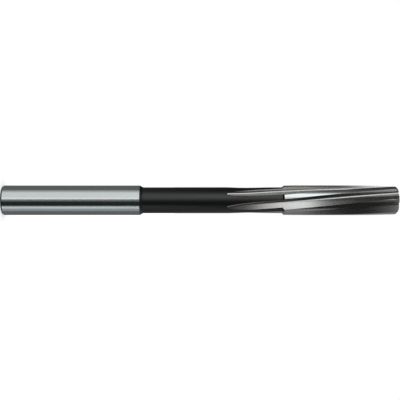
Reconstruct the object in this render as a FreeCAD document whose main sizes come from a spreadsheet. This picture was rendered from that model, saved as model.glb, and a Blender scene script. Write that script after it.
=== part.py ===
"""Machine reamer: straight shank, relieved neck and a six-flute left-hand helical cutting head.

The tool is ground from one bar, so it is one solid. It stands on its shank end: the
origin is the centre of that end and +Z runs along the axis to the cutting tip. The
cutting edges lead when the tool turns clockwise as seen from the shank.
"""
import FreeCAD, Part
import math
import os
from enum import IntEnum

import Sketcher
from FreeCAD import Placement, Rotation, Vector

NODE = "machine_reamer"

# Every driving dimension, in millimetres, degrees or a count.
SIZES = [
    ("overall_length", 133.0, "shank end to tip"),
    ("shank_diameter", 10.0, "plain cylindrical shank"),
    ("shank_length", 46.3, "shank end to the start of the shoulder"),
    ("shank_chamfer", 0.55, "45 degree chamfer at the shank end"),
    ("shoulder_length", 1.0, "taper from the shank down to the neck, along the axis"),
    ("neck_diameter", 8.75, "relieved neck between shank and cutting head"),
    ("head_diameter", 10.0, "reaming diameter over the margins"),
    ("head_length", 38.95, "cutting head, from its back bevel to the tip"),
    ("back_bevel_length", 0.6, "bevel from the neck up to the head, along the axis"),
    ("lead_length", 1.0, "bevel lead at the tip, along the axis"),
    ("lead_angle", 45.0, "bevel lead, from the axis"),
    ("lead_clearance_angle", 8.0, "clearance behind each edge of the bevel lead"),
    ("centre_angle", 60.0, "included angle of both turning centres"),
    ("shank_centre_diameter", 4.25, "mouth of the centre in the shank end"),
    ("shank_pilot_diameter", 2.0, "pilot drilling behind that centre"),
    ("tip_centre_diameter", 3.35, "mouth of the centre in the tip"),
    ("tip_pilot_diameter", 1.6, "pilot drilling behind that centre"),
    ("pilot_depth", 2.0, "straight length of both pilot drillings"),
    ("pilot_point_angle", 118.0, "included angle of the drill point in the pilots"),
    ("flute_count", 6.0, "flutes, and so cutting edges"),
    ("helix_angle", 6.1, "left-hand helix at the reaming diameter"),
    ("first_edge_angle", 267.0, "first cutting edge about the axis, at the back of the head"),
    ("core_diameter", 6.55, "circle that the flute bottoms touch"),
    ("flute_corner_radius", 0.8, "fillet between rake face and flute back"),
    ("land_width", 1.5, "cutting edge to heel, round the head"),
    ("margin_width", 0.3, "cylindrical part of the land, behind the edge"),
    ("land_clearance_angle", 10.0, "clearance ground behind the margin"),
    ("flute_past_head", 9.0, "flutes carry on at full depth into the neck"),
    ("wheel_diameter", 85.0, "flute grinding wheel, which sets the run-out"),
]

OUTREACH = 1.3          # outer edge of each cutter, as a share of the head's radius
OVERRUN = 1.0           # how far a cutter is drawn past what it cuts, in millimetres
HELIX_SECTIONS = 8      # steps of a cutter along the helix
RUNOUT_SECTIONS = 5     # steps of the flute cutter along the run-out


class Axis(IntEnum):
    """Sketcher's own axes, by geometry index."""
    H = -1
    V = -2


class At(IntEnum):
    """Sketcher's point positions on an edge. The sketch's origin is the start of its H axis."""
    START = 1
    END = 2
    CENTRE = 3


def cell(name):
    """Expression that reads one size from the sheet."""
    return f"<<sizes>>.{name}"


def half(name):
    """Expression for half a size: the radius of a diameter."""
    return f"({cell(name)} / 2)"


def tangent_of(name):
    """Expression for the tangent of an angle in the sheet."""
    return f"tan({cell(name)} * 1 deg)"


def make_sheet(doc):
    """Spreadsheet of the driving dimensions, one alias each."""
    sheet = doc.addObject("Spreadsheet::Sheet", "sizes")
    sheet.Label = "sizes"
    for row, (alias, value, meaning) in enumerate(SIZES, start=1):
        sheet.set(f"A{row}", meaning)
        sheet.set(f"B{row}", str(value))
        sheet.setAlias(f"B{row}", alias)
    doc.recompute()


def origin_feature(body, role):
    """Origin plane or axis of a body, found by its role."""
    return next(item for item in body.Origin.OriginFeatures if item.Role == role)


def new_sketch(body, name, plane):
    """Empty sketch on one of the body's own origin planes."""
    sketch = body.newObject("Sketcher::SketchObject", name)
    sketch.AttachmentSupport = (origin_feature(body, plane), "")
    sketch.MapMode = "FlatFace"
    return sketch


def pin(sketch, *constraint):
    """Add a geometric constraint to a sketch."""
    return sketch.addConstraint(Sketcher.Constraint(*constraint))


def drive(sketch, name, expression, *constraint):
    """Add a dimension to a sketch, name it and bind it to an expression."""
    index = pin(sketch, *constraint)
    sketch.renameConstraint(index, name)
    sketch.setExpression(f"Constraints.{name}", expression)


def place(sketch, base, rotation):
    """Bind where a sketch lies from its plane: base and rotation are expressions."""
    sketch.setExpression("AttachmentOffset", f"placement(vector({'; '.join(base)}); {rotation})")


# --- the turned blank -------------------------------------------------------------

def centre_depth(end):
    """Expression for the depth of the turning centre's cone at one end."""
    return f"({half(end + '_centre_diameter')} - {half(end + '_pilot_diameter')}) / tan({half('centre_angle')} * 1 deg)"


def point_depth(end):
    """Expression for the depth of the drill point at the bottom of one pilot."""
    return f"{half(end + '_pilot_diameter')} / tan({half('pilot_point_angle')} * 1 deg)"


def blank_corners():
    """Corners of the half section as (radius, height) expressions; None is on that axis."""
    tip = cell("overall_length")
    head_start = f"{tip} - {cell('head_length')}"
    low_cone = centre_depth("shank")
    low_pilot = f"{low_cone} + {cell('pilot_depth')}"
    high_cone = f"{tip} - {centre_depth('tip')}"
    high_pilot = f"{high_cone} - {cell('pilot_depth')}"
    return [
        (None, f"{low_pilot} + {point_depth('shank')}"),
        (half("shank_pilot_diameter"), low_pilot),
        (half("shank_pilot_diameter"), low_cone),
        (half("shank_centre_diameter"), None),
        (f"{half('shank_diameter')} - {cell('shank_chamfer')}", None),
        (half("shank_diameter"), cell("shank_chamfer")),
        (half("shank_diameter"), cell("shank_length")),
        (half("neck_diameter"), f"{cell('shank_length')} + {cell('shoulder_length')}"),
        (half("neck_diameter"), head_start),
        (half("head_diameter"), f"{head_start} + {cell('back_bevel_length')}"),
        (half("head_diameter"), f"{tip} - {cell('lead_length')}"),
        (f"{half('head_diameter')} - {cell('lead_length')} * {tangent_of('lead_angle')}", tip),
        (half("tip_centre_diameter"), tip),
        (half("tip_pilot_diameter"), high_cone),
        (half("tip_pilot_diameter"), high_pilot),
        (None, f"{high_pilot} - {point_depth('tip')}"),
    ]


def make_blank(body):
    """Revolve the half section: shank, shoulder, neck, head and both turning centres."""
    sketch = new_sketch(body, "blank_section", "XZ_Plane")
    corners = blank_corners()
    points = [
        Vector(sketch.evalExpression(radius or "0"), sketch.evalExpression(height or "0"), 0)
        for radius, height in corners
    ]
    for here, there in zip(points, points[1:] + points[:1]):
        sketch.addGeometry(Part.LineSegment(here, there), False)
    for edge, (radius, height) in enumerate(corners):
        pin(sketch, "Coincident", edge, At.END, (edge + 1) % len(corners), At.START)
        for axis, kind, name, size, value in (
            (Axis.V, "DistanceX", "radius", radius, points[edge].x),
            (Axis.H, "DistanceY", "height", height, points[edge].y),
        ):
            if size is None:
                pin(sketch, "PointOnObject", edge, At.START, axis)
            else:
                drive(sketch, f"{name}_{edge}", size, kind, Axis.H, At.START, edge, At.START, value)
    blank = body.newObject("PartDesign::Revolution", "blank")
    blank.Profile = sketch
    blank.ReferenceAxis = (sketch, ["V_Axis"])
    blank.Angle = 360.0
    body.Document.recompute()
    return blank


# --- the helix ----------------------------------------------------------------------

def head_start():
    """Expression for the height where the head's back bevel starts."""
    return f"({cell('overall_length')} - {cell('head_length')})"


def edge_angle(height):
    """Expression for the first cutting edge's angle about the axis at a height.

    The left-hand helix turns the edge back as it climbs.
    """
    twist = f"360 * {tangent_of('helix_angle')} / ({cell('head_diameter')} * pi)"
    return f"({cell('first_edge_angle')} - {twist} * ({height} - {head_start()}))"


def angle_to_next(width):
    """Expression for the angle from one edge to what lies a width short of the next edge."""
    return f"(360 / {cell('flute_count')} - {cell(width)} / ({cell('head_diameter')} * pi) * 360)"


# --- the flutes ---------------------------------------------------------------------

def flute_section(body, name):
    """Section of the flute cutter, square to the axis, with the cutting edge on the X axis.

    The rake face runs in along X, so it is radial. A fillet that touches the core circle
    turns into the flute's back, which passes through the heel of the next land. The
    other edges lie outside the blank.
    """
    sketch = new_sketch(body, name, "XY_Plane")
    reach = f"{half('head_diameter')} * {OUTREACH}"
    head = sketch.evalExpression(half("head_diameter"))
    core = sketch.evalExpression(half("core_diameter"))
    corner = sketch.evalExpression(cell("flute_corner_radius"))
    outside = sketch.evalExpression(reach)
    heel_angle = sketch.evalExpression(angle_to_next("land_width"))
    heel_turn = math.radians(heel_angle)

    # Where the solver starts. The back is the tangent from the heel to the fillet's circle.
    axis = Vector(0, 0, 0)
    upward = Vector(0, 0, 1)
    centre = Vector(math.sqrt((core + corner) ** 2 - corner ** 2), corner, 0)
    heel = Vector(math.cos(heel_turn), math.sin(heel_turn), 0) * head
    to_centre = centre - heel
    sideways = math.asin(corner / to_centre.Length)
    inward = Rotation(upward, -math.degrees(sideways)).multVec(to_centre).normalize()
    foot = heel + inward * (to_centre.Length * math.cos(sideways))
    root = Vector(centre.x, 0, 0)
    edge = Vector(outside, 0, 0)
    far = heel - inward * (outside - head)
    foot_turn = math.atan2(foot.y - centre.y, foot.x - centre.x)
    root_turn = math.radians(270)

    rake, fillet, back, lid, core_circle, heel_ray = range(6)
    sketch.addGeometry(Part.LineSegment(edge, root), False)
    sketch.addGeometry(Part.ArcOfCircle(Part.Circle(centre, upward, corner), foot_turn, root_turn), False)
    sketch.addGeometry(Part.LineSegment(foot, far), False)
    sketch.addGeometry(Part.LineSegment(far, edge), False)
    sketch.addGeometry(Part.Circle(axis, upward, core), True)
    sketch.addGeometry(Part.LineSegment(axis, heel), True)

    pin(sketch, "PointOnObject", rake, At.START, Axis.H)
    pin(sketch, "PointOnObject", rake, At.END, Axis.H)
    pin(sketch, "Tangent", rake, At.END, fillet, At.END)
    pin(sketch, "Tangent", fillet, At.START, back, At.START)
    pin(sketch, "Tangent", fillet, core_circle)
    pin(sketch, "Coincident", back, At.END, lid, At.START)
    pin(sketch, "Coincident", lid, At.END, rake, At.START)
    pin(sketch, "Coincident", core_circle, At.CENTRE, Axis.H, At.START)
    pin(sketch, "Coincident", heel_ray, At.START, Axis.H, At.START)
    pin(sketch, "PointOnObject", heel_ray, At.END, back)
    drive(sketch, "reach", reach, "DistanceX", Axis.H, At.START, rake, At.START, outside)
    drive(sketch, "corner", cell("flute_corner_radius"), "Radius", fillet, corner)
    drive(sketch, "core", half("core_diameter"), "Radius", core_circle, core)
    drive(sketch, "heel", angle_to_next("land_width"), "Angle", heel_ray, heel_turn)
    drive(sketch, "head", half("head_diameter"), "Distance", heel_ray, head)
    drive(sketch, "past_heel", f"{reach} - {half('head_diameter')}", "Distance",
          heel_ray, At.END, back, At.END, outside - head)
    return sketch


def place_flute_section(sketch, height, lift):
    """Set a flute section at a height, turned along the helix.

    The lift moves it straight out from the axis along the middle of the flute, as the
    grinding wheel leaves the cut.
    """
    turn = edge_angle(height)
    middle = f"({turn} + {angle_to_next('land_width')} / 2) * 1 deg"
    base = (f"{lift} * cos({middle}) * 1 mm", f"{lift} * sin({middle}) * 1 mm", f"{height} * 1 mm")
    place(sketch, base, f"rotation(vector(0; 0; 1); {turn})")


def full_depth_end():
    """Expression for the height where the flutes stop being full depth."""
    return f"({head_start()} - {cell('flute_past_head')})"


def make_flute(body):
    """Cut one flute at full depth, from the tip back through the head into the neck."""
    tip = f"({cell('overall_length')} + {OVERRUN})"
    sections = []
    for step in range(HELIX_SECTIONS + 1):
        height = f"({tip} + {step / HELIX_SECTIONS} * ({full_depth_end()} - {tip}))"
        sections.append(flute_section(body, f"flute_section_{step}"))
        place_flute_section(sections[-1], height, "0")
    return cut_loft(body, "flute", sections)


def make_runout(body):
    """Carry the flute on out of the neck, along the arc of the grinding wheel."""
    wheel = half("wheel_diameter")
    depth = f"({half('neck_diameter')} - {half('core_diameter')} + {OVERRUN})"
    leaving = f"sqrt({wheel}^2 - ({wheel} - {depth})^2)"
    sections = []
    for step in range(RUNOUT_SECTIONS + 1):
        past = f"({step / RUNOUT_SECTIONS} * {leaving})"
        lift = f"({wheel} - sqrt({wheel}^2 - {past}^2))"
        sections.append(flute_section(body, f"runout_section_{step}"))
        place_flute_section(sections[-1], f"({full_depth_end()} - {past})", lift)
    return cut_loft(body, "runout", sections)


def cut_loft(body, name, sections):
    """Cut the loft through a row of sections out of the body."""
    body.Document.recompute()
    loft = body.newObject("PartDesign::SubtractiveLoft", name)
    loft.Profile = sections[0]
    loft.Sections = sections[1:]
    loft.Ruled = False
    loft.Refine = False
    body.Document.recompute()
    return loft


# --- the clearances behind the edges --------------------------------------------------

def clearance_section(body, name):
    """Section of the cutter that clears the land behind its margin, square to the axis.

    Its working edge is straight. It passes through the rear edge of the margin and
    falls away from the tangent there by the clearance angle, out past the heel.
    """
    sketch = new_sketch(body, name, "XY_Plane")
    radius = half("head_diameter")
    width = f"({cell('land_width')} + {OVERRUN})"
    slope = f"({angle_to_next('margin_width')} + 90 - {cell('land_clearance_angle')})"
    head = sketch.evalExpression(radius)
    length = sketch.evalExpression(width)
    margin_turn = math.radians(sketch.evalExpression(angle_to_next("margin_width")))
    slope_turn = math.radians(sketch.evalExpression(slope))

    axis = Vector(0, 0, 0)
    along = Vector(math.cos(slope_turn), math.sin(slope_turn), 0)
    outward = Vector(math.sin(slope_turn), -math.cos(slope_turn), 0)
    margin = Vector(math.cos(margin_turn), math.sin(margin_turn), 0) * head
    low = margin - along * length
    high = margin + along * OVERRUN
    corners = [low, high, high + outward * OVERRUN, low + outward * OVERRUN]

    floor, rise, lid, fall, margin_ray = range(5)
    for here, there in zip(corners, corners[1:] + corners[:1]):
        sketch.addGeometry(Part.LineSegment(here, there), False)
    sketch.addGeometry(Part.LineSegment(axis, margin), True)
    for edge in (floor, rise, lid, fall):
        pin(sketch, "Coincident", edge, At.END, (edge + 1) % len(corners), At.START)
    pin(sketch, "Perpendicular", floor, rise)
    pin(sketch, "Perpendicular", rise, lid)
    pin(sketch, "Perpendicular", lid, fall)
    pin(sketch, "Coincident", margin_ray, At.START, Axis.H, At.START)
    pin(sketch, "PointOnObject", margin_ray, At.END, floor)
    drive(sketch, "margin", angle_to_next("margin_width"), "Angle", margin_ray, margin_turn)
    drive(sketch, "head", radius, "Distance", margin_ray, head)
    drive(sketch, "slope", slope, "Angle", floor, slope_turn)
    drive(sketch, "behind", width, "Distance", margin_ray, At.END, floor, At.START, length)
    drive(sketch, "ahead", f"{OVERRUN}", "Distance", margin_ray, At.END, floor, At.END, OVERRUN)
    drive(sketch, "thick", f"{OVERRUN}", "Distance", rise, OVERRUN)
    return sketch


def make_land_clearance(body):
    """Clear one land behind its margin, along the whole head."""
    top = f"({cell('overall_length')} + {OVERRUN})"
    bottom = f"({head_start()} - {OVERRUN})"
    sections = []
    for step in range(HELIX_SECTIONS + 1):
        height = f"({top} + {step / HELIX_SECTIONS} * ({bottom} - {top}))"
        sections.append(clearance_section(body, f"clearance_section_{step}"))
        place(sections[-1], ("0 mm", "0 mm", f"{height} * 1 mm"),
              f"rotation(vector(0; 0; 1); {edge_angle(height)})")
    return cut_loft(body, "land_clearance", sections)


def make_lead_clearance(body):
    """Clear the bevel lead of one land: a plane through its edge that falls away to the heel."""
    sketch = new_sketch(body, "lead_plane", "XY_Plane")
    tip = cell("overall_length")
    turn = edge_angle(tip)
    radius = f"({half('head_diameter')} - {cell('lead_length')} * {tangent_of('lead_angle')})"
    base = (f"{radius} * cos({turn} * 1 deg) * 1 mm", f"{radius} * sin({turn} * 1 deg) * 1 mm", f"{tip} * 1 mm")
    place(sketch, base, f"rotation({turn}; 90 - {cell('lead_angle')}; {cell('lead_clearance_angle')})")
    reach = sketch.evalExpression(half("head_diameter"))
    corners = [Vector(x * reach, y * reach, 0) for x, y in ((-1, -1), (1, -1), (1, 1), (-1, 1))]
    for here, there in zip(corners, corners[1:] + corners[:1]):
        sketch.addGeometry(Part.LineSegment(here, there), False)
    for edge in range(len(corners)):
        pin(sketch, "Coincident", edge, At.END, (edge + 1) % len(corners), At.START)
        pin(sketch, ("Horizontal", "Vertical")[edge % 2], edge)
    pin(sketch, "Symmetric", 0, At.START, 1, At.END, Axis.H, At.START)
    drive(sketch, "across", cell("head_diameter"), "Distance", 0, 2 * reach)
    drive(sketch, "along", cell("head_diameter"), "Distance", 1, 2 * reach)
    body.Document.recompute()
    clearance = body.newObject("PartDesign::Pocket", "lead_clearance")
    clearance.Profile = sketch
    clearance.Type = "Length"
    clearance.setExpression("Length", half("head_diameter"))
    clearance.Reversed = True
    clearance.Refine = False
    body.Document.recompute()
    return clearance


def repeat_round(body, features):
    """Repeat cuts round the axis, once for each flute."""
    pattern = body.newObject("PartDesign::PolarPattern", "flutes")
    pattern.Originals = features
    pattern.Axis = (origin_feature(body, "Z_Axis"), [""])
    pattern.Angle = 360.0
    pattern.setExpression("Occurrences", cell("flute_count"))
    pattern.Refine = False
    body.Tip = pattern
    body.Document.recompute()
    return pattern


# --- the document -----------------------------------------------------------------

def check(doc, body, cuts):
    """Stop if an object failed, a cut took nothing away or the solid is not sound."""
    for item in doc.Objects:
        if "Invalid" in item.State or "Error" in item.State:
            raise RuntimeError(f"{item.Name} did not build: {item.State}")
    for before, after in zip(cuts, cuts[1:]):
        if not after.Shape.Volume < before.Shape.Volume:
            raise RuntimeError(f"{after.Name} took nothing away from {before.Name}")
    shape = body.Shape
    if shape.isNull() or not shape.isValid() or len(shape.Solids) != 1:
        raise RuntimeError(f"{body.Label} is not one valid solid")


def main():
    """Build the reamer and write its STEP file."""
    doc = FreeCAD.newDocument("machine_reamer")
    make_sheet(doc)
    body = doc.addObject("PartDesign::Body", "reamer_body")
    body.Label = NODE
    body.Placement = Placement(Vector(0, 0, 0), Rotation())
    blank = make_blank(body)
    cuts = [make_lead_clearance(body), make_land_clearance(body), make_flute(body), make_runout(body)]
    flutes = repeat_round(body, cuts)
    check(doc, body, [blank, *cuts, flutes])
    os.makedirs("parts", exist_ok=True)
    body.Shape.exportStep(f"parts/{body.Label}.step")
    print(f"{body.Label}: {body.Shape.Volume:.1f} mm3, {len(body.Shape.Faces)} faces")


main()
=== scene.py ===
"""Machine reamer: ground shank, blackened neck and a six-flute left-hand helical head.

The tool stands on its shank end with +Z along its axis. Lengths are in millimetres in
the piece classes and become metres where a mesh is made.
"""

import logging
import math
from dataclasses import dataclass, field
from enum import Enum
from typing import Iterator, Sequence

import bpy
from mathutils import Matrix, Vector
from mathutils.geometry import tessellate_polygon


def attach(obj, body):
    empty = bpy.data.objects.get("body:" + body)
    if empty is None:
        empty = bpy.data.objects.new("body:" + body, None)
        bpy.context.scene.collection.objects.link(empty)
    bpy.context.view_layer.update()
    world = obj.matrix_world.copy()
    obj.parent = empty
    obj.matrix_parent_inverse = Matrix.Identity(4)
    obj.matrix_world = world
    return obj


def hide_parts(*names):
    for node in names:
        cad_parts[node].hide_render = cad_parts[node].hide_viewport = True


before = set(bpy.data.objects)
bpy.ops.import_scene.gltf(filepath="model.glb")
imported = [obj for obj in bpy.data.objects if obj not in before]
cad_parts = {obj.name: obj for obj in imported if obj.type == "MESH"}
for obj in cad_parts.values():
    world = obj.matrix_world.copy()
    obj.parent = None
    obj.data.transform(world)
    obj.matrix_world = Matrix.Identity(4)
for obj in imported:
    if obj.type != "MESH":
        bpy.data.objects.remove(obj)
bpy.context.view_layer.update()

MM = 0.001
TURN = 2.0 * math.pi
NODE = "machine_reamer"
BODY = "root"

log = logging.getLogger("reamer")

Spot = tuple[float, float]
Point = tuple[float, float, float]


def linear(hex_colour: str) -> tuple[float, float, float, float]:
    """Turn an sRGB hex colour into linear RGBA.

    Args:
        hex_colour: Six hex digits, with or without a leading #.

    Returns:
        Linear red, green, blue and an alpha of 1.
    """
    digits = hex_colour.lstrip("#")
    channels = [int(digits[i:i + 2], 16) / 255.0 for i in (0, 2, 4)]
    curved = [c / 12.92 if c <= 0.04045 else ((c + 0.055) / 1.055) ** 2.4 for c in channels]
    return (curved[0], curved[1], curved[2], 1.0)


def add_node(
    tree: bpy.types.NodeTree,
    kind: str,
    settings: dict[str, object] | None = None,
    inputs: dict[str | int, object] | None = None,
) -> bpy.types.Node:
    """Add a node with its settings, values and links.

    Args:
        tree: Node tree to add to.
        kind: Blender's name of the node type.
        settings: Attributes to set on the node.
        inputs: For each input, by name or index, a value or a socket to link from.

    Returns:
        The new node.
    """
    node = tree.nodes.new(kind)
    for key, value in (settings or {}).items():
        setattr(node, key, value)
    for key, value in (inputs or {}).items():
        if isinstance(value, bpy.types.NodeSocket):
            tree.links.new(value, node.inputs[key])
        else:
            node.inputs[key].default_value = value
    return node


def empty_material(name: str) -> bpy.types.Material:
    """Make a material with an empty node tree."""
    material = bpy.data.materials.new(name)
    material.use_nodes = True
    material.node_tree.nodes.clear()
    return material


def link_mesh(
    name: str,
    verts: Sequence[Point | Vector],
    faces: Sequence[tuple[int, ...]],
) -> bpy.types.Object:
    """Make an object from points in metres and link it to the scene.

    Args:
        name: Name of the object and its mesh.
        verts: Points in metres.
        faces: Faces as point indices.

    Returns:
        The linked object.
    """
    mesh = bpy.data.meshes.new(name)
    mesh.from_pydata(verts, [], faces)
    made = bpy.data.objects.new(name, mesh)
    bpy.context.scene.collection.objects.link(made)
    return made


# --- finishes -----------------------------------------------------------------------

class Lay(Enum):
    """Direction in which grinding grit has run over a surface."""
    ROUND = "round the tool"
    ALONG = "along the tool"


@dataclass(frozen=True)
class GroundSteel:
    """High-speed steel ground bright.

    Hardened tool steel off a fine wheel is a neutral grey metal. The grit leaves fine
    parallel lines, which stretch a highlight across them.
    """
    name: str
    colour: str
    roughness: float
    roughness_swing: float
    lay: Lay
    line_pitch_mm: float
    line_depth_mm: float
    line_stretch: float = 60.0

    def material(self) -> bpy.types.Material:
        """Build the material.

        Returns:
            A metal whose roughness and height follow the grinding lines.
        """
        material = empty_material(self.name)
        tree = material.node_tree
        place = add_node(tree, "ShaderNodeTexCoord")
        # Noise squeezed across the lay gives lines: one cell of noise for each pitch.
        across = 1.0 / (self.line_pitch_mm * MM)
        along = across / self.line_stretch
        scale = (along, along, across) if self.lay is Lay.ROUND else (across, across, along)
        stretch = add_node(
            tree, "ShaderNodeMapping",
            inputs={"Vector": place.outputs["Object"], "Scale": scale},
        )
        lines = add_node(
            tree, "ShaderNodeTexNoise",
            inputs={
                "Vector": stretch.outputs["Vector"],
                "Scale": 1.0,
                "Detail": 3.0,
                "Roughness": 0.6,
            },
        )
        rough = add_node(
            tree, "ShaderNodeMapRange",
            inputs={
                "Value": lines.outputs["Fac"],
                "From Min": 0.3, "From Max": 0.7,
                "To Min": self.roughness - self.roughness_swing,
                "To Max": self.roughness + self.roughness_swing,
            },
        )
        bump = add_node(
            tree, "ShaderNodeBump",
            inputs={
                "Height": lines.outputs["Fac"],
                "Strength": 1.0,
                "Distance": self.line_depth_mm * MM,
            },
        )
        shader = add_node(
            tree, "ShaderNodeBsdfPrincipled",
            inputs={
                "Base Color": linear(self.colour),
                "Metallic": 1.0,
                "Roughness": rough.outputs["Result"],
                "Normal": bump.outputs["Normal"],
            },
        )
        add_node(tree, "ShaderNodeOutputMaterial", inputs={"Surface": shader.outputs["BSDF"]})
        return material


@dataclass(frozen=True)
class BlackOxide:
    """Steel turned and then blackened in a hot salt bath, or by steam.

    The oxide film is near black with a cold green cast and an oily sheen, so it shows
    a soft highlight and the faint rings of turning.
    """
    name: str = "black oxide on turned steel"
    colour: str = "#060b0a"
    roughness: float = 0.36
    feed_mm: float = 0.25
    ring_depth_mm: float = 0.0006
    ring_stretch: float = 40.0

    def material(self) -> bpy.types.Material:
        """Build the material.

        Returns:
            A dark, slightly glossy film with turning rings in its height.
        """
        material = empty_material(self.name)
        tree = material.node_tree
        place = add_node(tree, "ShaderNodeTexCoord")
        across = 1.0 / (self.feed_mm * MM)
        round_tool = across / self.ring_stretch
        stretch = add_node(
            tree, "ShaderNodeMapping",
            inputs={"Vector": place.outputs["Object"], "Scale": (round_tool, round_tool, across)},
        )
        rings = add_node(
            tree, "ShaderNodeTexNoise",
            inputs={
                "Vector": stretch.outputs["Vector"],
                "Scale": 1.0,
                "Detail": 2.0,
                "Roughness": 0.5,
            },
        )
        bump = add_node(
            tree, "ShaderNodeBump",
            inputs={
                "Height": rings.outputs["Fac"],
                "Strength": 1.0,
                "Distance": self.ring_depth_mm * MM,
            },
        )
        shader = add_node(
            tree, "ShaderNodeBsdfPrincipled",
            inputs={
                "Base Color": linear(self.colour),
                "Metallic": 0.0,
                "Roughness": self.roughness,
                "IOR": 1.6,
                "Normal": bump.outputs["Normal"],
            },
        )
        add_node(tree, "ShaderNodeOutputMaterial", inputs={"Surface": shader.outputs["BSDF"]})
        return material


class Finish(Enum):
    """Finishes of the tool, one material slot each."""
    SHANK = GroundSteel(
        name="high-speed steel, cylindrical ground shank",
        colour="#cdd3d3",
        roughness=0.2,
        roughness_swing=0.03,
        lay=Lay.ROUND,
        line_pitch_mm=0.12,
        line_depth_mm=0.0006,
    )
    BLACK = BlackOxide()
    FLUTE = GroundSteel(
        name="high-speed steel, flute ground lengthways",
        colour="#bdbab8",
        roughness=0.28,
        roughness_swing=0.03,
        lay=Lay.ALONG,
        line_pitch_mm=0.1,
        line_depth_mm=0.0005,
    )
    LAND = GroundSteel(
        name="high-speed steel, land ground to size",
        colour="#c6c9c8",
        roughness=0.18,
        roughness_swing=0.02,
        lay=Lay.ROUND,
        line_pitch_mm=0.1,
        line_depth_mm=0.0004,
    )


# --- the tool's form ----------------------------------------------------------------

@dataclass
class Ring:
    """One closed row of points round the tool at one height.

    Attributes:
        height: Height of the row.
        points: Points in order round the tool.
        above: Finish of the outside between this row and the next one up.
        fluted: Whether the flutes are open between this row and the next one up.
        corner: Whether the outside has a corner along this row.
    """
    height: float
    points: list[Spot]
    above: Finish
    fluted: bool = False
    corner: bool = False


@dataclass(frozen=True)
class Span:
    """Stretch of the tool whose rows of points are evenly spaced."""
    start: float
    end: float
    step: float
    finish: Finish


@dataclass
class Flutes:
    """Six equal flutes: section, helix and the run-out where the grinding wheel leaves."""
    count: int = 6
    head_radius: float = 5.0
    helix_deg: float = 6.1
    first_edge_deg: float = 267.0
    core_radius: float = 3.275
    corner_radius: float = 0.8
    land: float = 1.5
    margin: float = 0.3
    clearance_deg: float = 10.0
    wheel_radius: float = 42.5
    outreach: float = 1.3
    rake_samples: int = 80
    corner_samples: int = 60
    back_samples: int = 120
    flute_points: int = 26
    clearance_points: int = 9
    margin_points: int = 4

    def angle_to_next(self, width: float) -> float:
        """Angle from one cutting edge to a width short of the next one, round the head."""
        return TURN / self.count - width / self.head_radius

    def curve(self) -> list[Spot]:
        """Trace one flute: in along the rake, round the root corner and out past the heel.

        Returns:
            Closely spaced points with the cutting edge on the X axis.
        """
        core, corner = self.core_radius, self.corner_radius
        centre = Vector((math.sqrt((core + corner) ** 2 - corner ** 2), corner))
        heel_turn = self.angle_to_next(self.land)
        heel = Vector((math.cos(heel_turn), math.sin(heel_turn))) * self.head_radius
        to_centre = centre - heel
        sideways = math.asin(corner / to_centre.length)
        direction = math.atan2(to_centre.y, to_centre.x) - sideways
        inward = Vector((math.cos(direction), math.sin(direction)))
        foot = heel + inward * (to_centre.length * math.cos(sideways))
        rake_end = math.radians(270.0)
        back_start = math.atan2(foot.y - centre.y, foot.x - centre.x)
        outside = self.head_radius * self.outreach
        trace = []
        for i in range(self.rake_samples):
            trace.append((outside + (centre.x - outside) * i / self.rake_samples, 0.0))
        for i in range(self.corner_samples):
            turn = rake_end + (back_start - rake_end) * i / self.corner_samples
            trace.append((centre.x + corner * math.cos(turn), corner + corner * math.sin(turn)))
        far = heel - inward * (outside - self.head_radius)
        for i in range(self.back_samples + 1):
            spot = foot.lerp(far, i / self.back_samples)
            trace.append((spot.x, spot.y))
        return trace

    def inside(self, radius: float, lift: float) -> list[Spot]:
        """Part of the lifted flute curve that lies inside a radius.

        Args:
            radius: Outside radius of the tool at that height.
            lift: How far the wheel has left the cut, along the middle of the flute.

        Returns:
            Evenly spaced points from the rake side to the heel side, or none once the
            wheel is clear.
        """
        middle = self.angle_to_next(self.land) / 2.0
        shift = (lift * math.cos(middle), lift * math.sin(middle))
        trace = [(x + shift[0], y + shift[1]) for x, y in self.curve()]
        kept: list[Spot] = []
        for here, there in zip(trace, trace[1:]):
            gap_here, gap_there = radius - math.hypot(*here), radius - math.hypot(*there)
            if gap_here * gap_there < 0.0:
                kept.append(between(here, there, gap_here / (gap_here - gap_there)))
            if gap_there > 0.0:
                kept.append(there)
        return even_spacing(kept, self.flute_points) if len(kept) > 2 else []

    def clear_radius(self, angle: float) -> float:
        """Radius of the clearance behind the margin, at an angle from the cutting edge ahead."""
        behind = self.margin / self.head_radius
        slope = math.radians(self.clearance_deg)
        offset = self.head_radius * math.cos(slope)
        return offset / math.cos(angle - behind + slope)

    def edge_turn(self, height: float, head_start: float) -> float:
        """Angle of the first cutting edge at a height: left-hand, it turns back as it climbs."""
        twist = math.tan(math.radians(self.helix_deg)) / self.head_radius
        return math.radians(self.first_edge_deg) - twist * (height - head_start)


def between(here: Spot, there: Spot, share: float) -> Spot:
    """Point at a share of the way from one point to another."""
    return (here[0] + (there[0] - here[0]) * share, here[1] + (there[1] - here[1]) * share)


def even_spacing(trace: Sequence[Spot], count: int) -> list[Spot]:
    """Resample an open line into evenly spaced points.

    Args:
        trace: The line.
        count: Number of points, ends included.

    Returns:
        The new points.
    """
    run = [0.0]
    for here, there in zip(trace, trace[1:]):
        run.append(run[-1] + math.dist(here, there))
    spaced = []
    step = 0
    for i in range(count):
        want = run[-1] * i / (count - 1)
        while step < len(run) - 2 and run[step + 1] < want:
            step += 1
        span = run[step + 1] - run[step]
        share = (want - run[step]) / span if span > 0.0 else 0.0
        spaced.append(between(trace[step], trace[step + 1], share))
    return spaced


def heights(start: float, end: float, step: float) -> Iterator[float]:
    """Evenly spaced heights from start up to just short of end."""
    count = max(1, math.ceil((end - start) / step - 1e-6))
    for i in range(count):
        yield start + (end - start) * i / count


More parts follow.
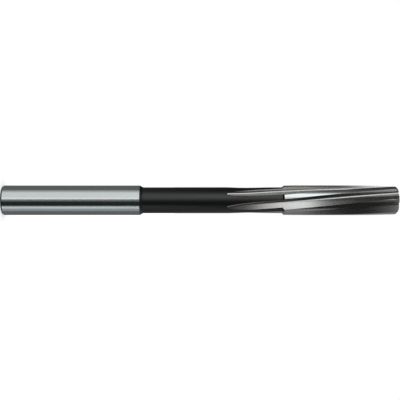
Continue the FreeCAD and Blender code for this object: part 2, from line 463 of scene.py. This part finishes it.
def steps_after(start: float, end: float, count: int) -> list[float]:
    """Evenly spaced values after start, up to end itself."""
    return [start + (end - start) * (i + 1) / count for i in range(count)]


@dataclass
class Draft:
    """A mesh being made: points in millimetres, faces, their finishes and sharp edges."""
    verts: list[Point] = field(default_factory=list)
    faces: list[tuple[int, ...]] = field(default_factory=list)
    slots: list[int] = field(default_factory=list)
    sharp: set[tuple[int, int]] = field(default_factory=set)

    def add_row(self, points: Sequence[Spot], height: float) -> int:
        """Add a row of points at one height and return the index of the first."""
        start = len(self.verts)
        self.verts += [(x, y, height) for x, y in points]
        return start

    def add_face(self, corners: tuple[int, ...], finish: Finish) -> None:
        """Add a face with its finish."""
        self.faces.append(corners)
        self.slots.append(list(Finish).index(finish))

    def sharpen_row(self, start: int, count: int) -> None:
        """Make the closed row of edges from a point sharp."""
        self.sharp |= {(start + i, start + (i + 1) % count) for i in range(count)}

    def build(self, name: str) -> bpy.types.Object:
        """Make the object, with one material slot for each finish.

        Args:
            name: Name of the object.

        Returns:
            The linked object, with its normals facing out.
        """
        made = link_mesh(name, [Vector(v) * MM for v in self.verts], self.faces)
        mesh = made.data
        for finish in Finish:
            mesh.materials.append(finish.value.material())
        mesh.polygons.foreach_set("material_index", self.slots)
        mesh.polygons.foreach_set("use_smooth", [True] * len(self.faces))
        wanted = {frozenset(pair) for pair in self.sharp}
        for edge in mesh.edges:
            edge.use_edge_sharp = frozenset(edge.vertices) in wanted
        mesh.validate()
        mesh.update()
        bpy.context.view_layer.objects.active = made
        made.select_set(True)
        bpy.ops.object.mode_set(mode="EDIT")
        bpy.ops.mesh.select_all(action="SELECT")
        bpy.ops.mesh.normals_make_consistent(inside=False)
        bpy.ops.object.mode_set(mode="OBJECT")
        made.select_set(False)
        return made


@dataclass
class Centre:
    """Turning centre: a 60 degree cone with a drilled pilot behind it."""
    mouth_radius: float
    pilot_radius: float
    cone_half_deg: float = 30.0
    pilot_depth: float = 2.0
    point_half_deg: float = 59.0
    facets: int = 48

    def steps(self) -> list[Spot]:
        """Radius and depth of each corner, from the mouth to the drill point."""
        cone = (self.mouth_radius - self.pilot_radius) / math.tan(math.radians(self.cone_half_deg))
        point = self.pilot_radius / math.tan(math.radians(self.point_half_deg))
        return [
            (self.mouth_radius, 0.0),
            (self.pilot_radius, cone),
            (self.pilot_radius, cone + self.pilot_depth),
            (0.0, cone + self.pilot_depth + point),
        ]


@dataclass
class EndFace:
    """One end of the tool: a flat face with a turning centre in it.

    Attributes:
        height: Height of the face.
        inward: 1 where the tool lies above the face, -1 where it lies below.
        centre: The turning centre.
        finish: Finish of the face and the centre.
    """
    height: float
    inward: float
    centre: Centre
    finish: Finish

    def close(self, draft: Draft, start: int, rim: Sequence[Spot]) -> None:
        """Close the end.

        Args:
            draft: The mesh, added to.
            start: Index of the rim's first point.
            rim: The rim's points.
        """
        facets = self.centre.facets
        circle = [(math.cos(TURN * i / facets), math.sin(TURN * i / facets)) for i in range(facets)]
        steps = self.centre.steps()
        rows = []
        for radius, depth in steps[:-1]:
            row = [(radius * x, radius * y) for x, y in circle]
            rows.append(draft.add_row(row, self.height + self.inward * depth))
        bottom = draft.add_row([(0.0, 0.0)], self.height + self.inward * steps[-1][1])

        outline = [Vector((x, y, 0.0)) for x, y in rim]
        hole = [Vector((steps[0][0] * x, steps[0][0] * y, 0.0)) for x, y in circle]
        index = [start + i for i in range(len(rim))] + [rows[0] + i for i in range(facets)]
        for corners in tessellate_polygon([outline, hole]):
            draft.add_face(tuple(index[k] for k in corners), self.finish)
        for low, high in zip(rows, rows[1:]):
            for i in range(facets):
                j = (i + 1) % facets
                draft.add_face((low + i, low + j, high + j, high + i), self.finish)
        for i in range(facets):
            draft.add_face((rows[-1] + i, rows[-1] + (i + 1) % facets, bottom), self.finish)
        for row in rows:
            draft.sharpen_row(row, facets)


@dataclass
class Bar:
    """The whole tool as rows of points, joined into one closed mesh."""
    flutes: Flutes = field(default_factory=Flutes)
    length: float = 133.0
    shank_radius: float = 5.0
    shank_length: float = 46.3
    chamfer: float = 0.55
    shoulder: float = 1.0
    neck_radius: float = 4.375
    head_length: float = 38.95
    back_bevel: float = 0.6
    lead: float = 1.0
    lead_deg: float = 45.0
    lead_clearance_deg: float = 8.0
    flute_past_head: float = 9.0
    shank_centre: Centre = field(default_factory=lambda: Centre(2.125, 1.0))
    tip_centre: Centre = field(default_factory=lambda: Centre(1.675, 0.8))
    # Spacing of the rows of points, and stretches that hold the run-out and the lead's clearance.
    plain_step: float = 3.0
    run_out_step: float = 0.25
    helix_step: float = 0.6
    bevel_step: float = 0.2
    lead_step: float = 0.1
    seam: float = 0.05
    run_out_reach: float = 14.0
    lead_reach: float = 2.0

    @property
    def head_start(self) -> float:
        """Height where the head's back bevel starts."""
        return self.length - self.head_length

    def outside_radius(self, height: float) -> float:
        """Radius of the turned outside in the neck and head, at a height."""
        rise = (height - self.head_start) / self.back_bevel
        head = self.flutes.head_radius
        if rise < 1.0:
            return self.neck_radius + (head - self.neck_radius) * max(0.0, rise)
        drop = max(0.0, height - (self.length - self.lead)) * math.tan(math.radians(self.lead_deg))
        return head - drop

    def lead_radius(self, angle: float, height: float) -> float:
        """Radius of the cleared bevel lead, at an angle from its edge at the tip.

        Args:
            angle: Angle about the axis from that edge, negative behind it.
            height: Height on the tool.

        Returns:
            Radius of the clearance plane there.
        """
        lead, clear = math.radians(self.lead_deg), math.radians(self.lead_clearance_deg)
        tip_radius = self.flutes.head_radius - self.lead * math.tan(lead)
        across, back, along = (
            math.cos(lead) * math.cos(clear),
            -math.sin(clear),
            math.sin(lead) * math.cos(clear),
        )
        return (across * tip_radius + along * (self.length - height)) / (
            across * math.cos(angle) + back * math.sin(angle)
        )

    def lift(self, height: float) -> float:
        """How far the wheel has left the cut at a height."""
        past = max(0.0, self.head_start - self.flute_past_head - height)
        return self.flutes.wheel_radius - math.sqrt(self.flutes.wheel_radius ** 2 - past ** 2)

    def sector(self, height: float) -> list[Spot]:
        """One flute and the land after it, with the cutting edge on the X axis.

        Args:
            height: Height on the tool.

        Returns:
            Points from the cutting edge, through the flute, over the next land, short
            of the next edge. Empty where the flute has run out.
        """
        flutes = self.flutes
        radius = self.outside_radius(height)
        flute = flutes.inside(radius, self.lift(height))
        if not flute:
            return []
        next_edge = math.atan2(flute[0][1], flute[0][0]) + TURN / flutes.count
        heel = math.atan2(flute[-1][1], flute[-1][0])
        in_head = height >= self.head_start
        margin = flutes.margin / flutes.head_radius
        if not in_head:
            margin *= (next_edge - heel) / (flutes.land / flutes.head_radius)
        rear = next_edge - margin
        angles = steps_after(heel, rear, flutes.clearance_points)
        angles += steps_after(rear, next_edge, flutes.margin_points)[:-1]
        points = list(flute)
        for angle in angles:
            reach = self.land_radius(height, next_edge - angle, angle < rear) if in_head else radius
            points.append((reach * math.cos(angle), reach * math.sin(angle)))
        return points

    def land_radius(self, height: float, behind: float, cleared: bool) -> float:
        """Radius of a land in the head.

        Args:
            height: Height on the tool.
            behind: Angle behind the land's cutting edge.
            cleared: Whether the place is behind the margin.

        Returns:
            Radius of the lowest surface ground there.
        """
        flutes = self.flutes
        reach = self.outside_radius(height)
        if cleared:
            reach = min(reach, flutes.clear_radius(behind))
        if height > self.length - self.lead_reach:
            turned = flutes.edge_turn(height, self.head_start)
            turned -= flutes.edge_turn(self.length, self.head_start)
            reach = min(reach, self.lead_radius(turned - behind, height))
        return reach

    def row(self, height: float) -> list[Spot]:
        """Repeat the sector at a height round the axis, turned along the helix."""
        sector = self.sector(height)
        start = self.flutes.edge_turn(height, self.head_start)
        row = []
        for i in range(self.flutes.count):
            turn = start + TURN * i / self.flutes.count
            cos, sin = math.cos(turn), math.sin(turn)
            row += [(x * cos - y * sin, x * sin + y * cos) for x, y in sector]
        return row

    def fluted_rings(self) -> list[Ring]:
        """Rows from the end of the run-out, through the neck and head, to the tip."""
        rings: list[Ring] = []
        full_depth = self.head_start - self.flute_past_head
        bevel_end = self.head_start + self.back_bevel
        lead_start = self.length - self.lead
        spans = (
            Span(full_depth - self.run_out_reach, full_depth, self.run_out_step, Finish.BLACK),
            Span(full_depth, self.head_start, self.helix_step, Finish.BLACK),
            Span(self.head_start, bevel_end, self.bevel_step, Finish.BLACK),
            Span(bevel_end, lead_start, self.helix_step, Finish.LAND),
            Span(lead_start, self.length, self.lead_step, Finish.LAND),
        )
        for span in spans:
            for height in heights(span.start, span.end, span.step):
                points = self.row(height)
                if points:
                    corner = height == span.start and height >= self.head_start
                    rings.append(Ring(height, points, span.finish, fluted=True, corner=corner))
        rings.append(Ring(self.length, self.row(self.length), Finish.LAND, corner=True))
        return rings

    def plain_rings(self, first: Ring) -> list[Ring]:
        """Rows of the shank, shoulder and plain neck, spaced round as the first fluted row is.

        Args:
            first: The lowest fluted row.

        Returns:
            Rows from the shank end up to just under that row.
        """
        neck_start = self.shank_length + self.shoulder
        neck_end = first.height - self.seam
        shank, neck = self.shank_radius, self.neck_radius
        profile = [
            (0.0, shank - self.chamfer, Finish.BLACK, True),
            (self.chamfer, shank, Finish.SHANK, True),
            (self.shank_length, shank, Finish.BLACK, True),
            (neck_start, neck, Finish.BLACK, True),
            (neck_end, neck, Finish.BLACK, False),
        ]
        for height in heights(self.plain_step, self.shank_length, self.plain_step):
            profile.append((height, shank, Finish.SHANK, False))
        for height in heights(neck_start + self.plain_step, neck_end, self.plain_step):
            profile.append((height, neck, Finish.BLACK, False))
        angles = [math.atan2(y, x) for x, y in first.points]
        rings = []
        for height, radius, finish, corner in sorted(profile, key=lambda place: place[0]):
            points = [(radius * math.cos(angle), radius * math.sin(angle)) for angle in angles]
            rings.append(Ring(height, points, finish, corner=corner))
        return rings

    def build(self) -> bpy.types.Object:
        """Make the tool's mesh with its finishes and sharp edges.

        Returns:
            The finished object, one closed surface.
        """
        fluted = self.fluted_rings()
        rings = self.plain_rings(fluted[0]) + fluted
        around = len(rings[0].points)
        sector = around // self.flutes.count
        last_in_flute = self.flutes.flute_points - 1
        draft = Draft()
        rows = [draft.add_row(ring.points, ring.height) for ring in rings]
        for ring, row in zip(rings, rows):
            if ring.corner:
                draft.sharpen_row(row, around)
        for ring, low, high in zip(rings, rows, rows[1:]):
            for i in range(around):
                j = (i + 1) % around
                column = i % sector
                in_flute = ring.fluted and column < last_in_flute
                finish = Finish.FLUTE if in_flute else ring.above
                draft.add_face((low + i, low + j, high + j, high + i), finish)
                if ring.fluted and column in self.sharp_columns(ring):
                    draft.sharp.add((low + i, high + i))
        shank_end = EndFace(0.0, 1.0, self.shank_centre, Finish.BLACK)
        tip_end = EndFace(self.length, -1.0, self.tip_centre, Finish.LAND)
        shank_end.close(draft, rows[0], rings[0].points)
        tip_end.close(draft, rows[-1], rings[-1].points)
        return draft.build(NODE + "_tool")

    def sharp_columns(self, ring: Ring) -> set[int]:
        """Places in a sector with an edge along the tool: cutting edge, heel and margin."""
        last_in_flute = self.flutes.flute_points - 1
        columns = {0, last_in_flute}
        if ring.above is Finish.LAND:
            columns.add(last_in_flute + self.flutes.clearance_points)
        return columns


# --- the studio ---------------------------------------------------------------------

WHITE = "#ffffff"
# Stretches of height, in metres, that the cards cover: by the shank, and by the neck and head.
BY_SHANK = (-0.5, 0.055)
BY_HEAD = (0.055, 0.6)


def square(half_width: float, height: float) -> list[Point]:
    """Corners of a level square about the tool's axis, in metres."""
    signs = ((-1, -1), (1, -1), (1, 1), (-1, 1))
    return [(x * half_width, y * half_width, height) for x, y in signs]


def reflected_sheet(
    name: str,
    verts: Sequence[Point],
    faces: Sequence[tuple[int, ...]],
    level: float,
    colour: str,
) -> bpy.types.Object:
    """Make a glowing sheet that shows in reflections only.

    Args:
        name: Name of the sheet and its material.
        verts: Points in metres.
        faces: Faces as point indices.
        level: Strength of its glow.
        colour: sRGB hex colour of its glow.

    Returns:
        The sheet, linked to the scene.
    """
    material = empty_material(name)
    tree = material.node_tree
    glow = add_node(
        tree, "ShaderNodeEmission",
        inputs={"Color": linear(colour), "Strength": level},
    )
    add_node(tree, "ShaderNodeOutputMaterial", inputs={"Surface": glow.outputs["Emission"]})
    sheet = link_mesh(name, verts, faces)
    sheet.data.materials.append(material)
    sheet.visible_camera = False
    sheet.visible_diffuse = False
    sheet.visible_transmission = False
    sheet.visible_shadow = False
    return sheet


@dataclass(frozen=True)
class Card:
    """A tall curved card round the tool: a soft box, a grey card or a black flag.

    Angles run about the tool from the camera's side, and grow towards the key light.
    """
    name: str
    start_deg: float
    end_deg: float
    stretch: tuple[float, float]
    level: float
    colour: str = WHITE
    radius: float = 0.45
    facet_deg: float = 5.0

    def build(self) -> bpy.types.Object:
        """Make the card.

        Returns:
            The card, seen in reflections only.
        """
        steps = max(2, math.ceil((self.end_deg - self.start_deg) / self.facet_deg))
        verts: list[Point] = []
        for i in range(steps + 1):
            turn = math.radians(self.start_deg + (self.end_deg - self.start_deg) * i / steps)
            for height in self.stretch:
                verts.append((-self.radius * math.sin(turn), -self.radius * math.cos(turn), height))
        faces = [(2 * i, 2 * i + 1, 2 * i + 3, 2 * i + 2) for i in range(steps)]
        return reflected_sheet(self.name, verts, faces, self.level, self.colour)


@dataclass(frozen=True)
class EndCard:
    """A flat square card across one end of the studio, facing along the tool."""
    name: str
    height: float
    level: float
    colour: str = WHITE
    half_width: float = 0.5

    def build(self) -> bpy.types.Object:
        """Make the card, seen in reflections only."""
        corners = square(self.half_width, self.height)
        return reflected_sheet(self.name, corners, [(0, 1, 2, 3)], self.level, self.colour)


@dataclass
class Studio:
    """Pale floor, white surround, cards for the metal to reflect, and the camera.

    Lengths are in metres, apart from the camera's sensor, which is in millimetres.
    """
    camera_distance: float = 0.300
    camera_height: float = 0.0665
    camera_side: float = -0.00008
    field_width: float = 0.1350
    sensor_width: float = 36.0
    floor_half_width: float = 2.0
    floor_colour: str = "#f7f7f7"
    floor_glow: float = 0.25
    cards: tuple[Card | EndCard, ...] = (
        # By the shank: a wide soft box, a flag under it, a bluish strip and greys.
        Card("shank front grey", -8.0, 8.0, BY_SHANK, 0.2),
        Card("shank key edge", 8.0, 18.0, BY_SHANK, 1.3),
        Card("shank key", 18.0, 66.0, BY_SHANK, 0.9),
        Card("shank key fade", 66.0, 82.0, BY_SHANK, 0.55),
        Card("shank top grey", 82.0, 200.0, BY_SHANK, 0.16),
        Card("shank flag", -48.0, -8.0, BY_SHANK, 0.02),
        Card("shank strip", -68.0, -48.0, BY_SHANK, 0.9, "#f0f8ff"),
        Card("shank lower grey", -92.0, -68.0, BY_SHANK, 0.4),
        Card("shank under grey", -160.0, -92.0, BY_SHANK, 0.16),
        # By the neck and head: a brighter, narrower soft box with a fading lower edge.
        Card("head fade, low", 4.0, 12.0, BY_HEAD, 0.5),
        Card("head fade, middle", 12.0, 20.0, BY_HEAD, 0.85),
        Card("head fade, high", 20.0, 28.0, BY_HEAD, 1.3),
        Card("head key", 28.0, 52.0, BY_HEAD, 1.75, "#f0fafa"),
        Card("head key fade", 52.0, 62.0, BY_HEAD, 0.4),
        Card("head top grey", 62.0, 80.0, BY_HEAD, 0.12),
        Card("head back grey", 80.0, 200.0, BY_HEAD, 0.06),
        Card("head front grey", -14.0, 4.0, BY_HEAD, 0.1),
        Card("head flag", -70.0, -14.0, BY_HEAD, 0.02),
        Card("head lower grey", -160.0, -70.0, BY_HEAD, 0.3),
        # Across the ends: black beyond the shank, grey beyond the tip.
        EndCard("shank end black", BY_SHANK[0], 0.02),
        EndCard("tip end grey", BY_HEAD[1], 0.15),
    )

    def floor(self) -> None:
        """Lay a plain white floor under the tool.

        It is matt, so that it keeps the tool's shadow, and it glows a little where it is
        seen, so that it meets the surround without a line.
        """
        material = empty_material("white painted board")
        tree = material.node_tree
        board = add_node(tree, "ShaderNodeBsdfDiffuse", inputs={"Color": linear(self.floor_colour)})
        path = add_node(tree, "ShaderNodeLightPath")
        seen = add_node(
            tree, "ShaderNodeMath", {"operation": "MAXIMUM"},
            {0: path.outputs["Is Camera Ray"], 1: path.outputs["Is Glossy Ray"]},
        )
        seen = add_node(
            tree, "ShaderNodeMath", {"operation": "MAXIMUM"},
            {0: seen.outputs[0], 1: path.outputs["Is Transmission Ray"]},
        )
        level = add_node(
            tree, "ShaderNodeMath", {"operation": "MULTIPLY"},
            {0: seen.outputs[0], 1: self.floor_glow},
        )
        glow = add_node(tree, "ShaderNodeEmission", inputs={"Strength": level.outputs[0]})
        both = add_node(
            tree, "ShaderNodeAddShader",
            inputs={0: board.outputs[0], 1: glow.outputs[0]},
        )
        add_node(tree, "ShaderNodeOutputMaterial", inputs={"Surface": both.outputs[0]})
        plane = link_mesh("floor", square(self.floor_half_width, 0.0), [(0, 1, 2, 3)])
        plane.data.materials.append(material)
        plane.visible_glossy = False

    def surround(self) -> None:
        """Light the studio evenly from a white surround."""
        world = bpy.data.worlds.new("white surround")
        world.use_nodes = True
        tree = world.node_tree
        tree.nodes.clear()
        sky = add_node(
            tree, "ShaderNodeBackground",
            inputs={"Color": linear(WHITE), "Strength": 1.0},
        )
        add_node(tree, "ShaderNodeOutputWorld", inputs={"Surface": sky.outputs["Background"]})
        bpy.context.scene.world = world

    def camera(self) -> None:
        """Set the camera square to the tool, rolled so that the tool lies across the view."""
        data = bpy.data.cameras.new("camera")
        data.sensor_width = self.sensor_width
        data.lens = data.sensor_width * self.camera_distance / self.field_width
        data.clip_start = 0.01
        holder = bpy.data.objects.new("camera", data)
        bpy.context.scene.collection.objects.link(holder)
        holder.location = (self.camera_side, -self.camera_distance, self.camera_height)
        # Looking along +Y, with +Z to the right and -X upwards.
        holder.rotation_euler = (math.radians(90.0), math.radians(-90.0), 0.0)
        bpy.context.scene.camera = holder

    def build(self) -> None:
        """Set up floor, surround, cards and camera."""
        self.floor()
        self.surround()
        for card in self.cards:
            card.build()
        self.camera()
        bpy.context.scene.view_settings.view_transform = "Standard"


def main() -> None:
    """Build the tool and the studio."""
    logging.basicConfig(level=logging.INFO, format="%(name)s: %(message)s")
    tool = Bar().build()
    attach(tool, BODY)
    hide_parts(NODE)
    log.info("tool: %d points, %d faces", len(tool.data.vertices), len(tool.data.polygons))
    Studio().build()
    log.info("studio: floor, surround, cards and camera")


if __name__ == "__main__":
    main()
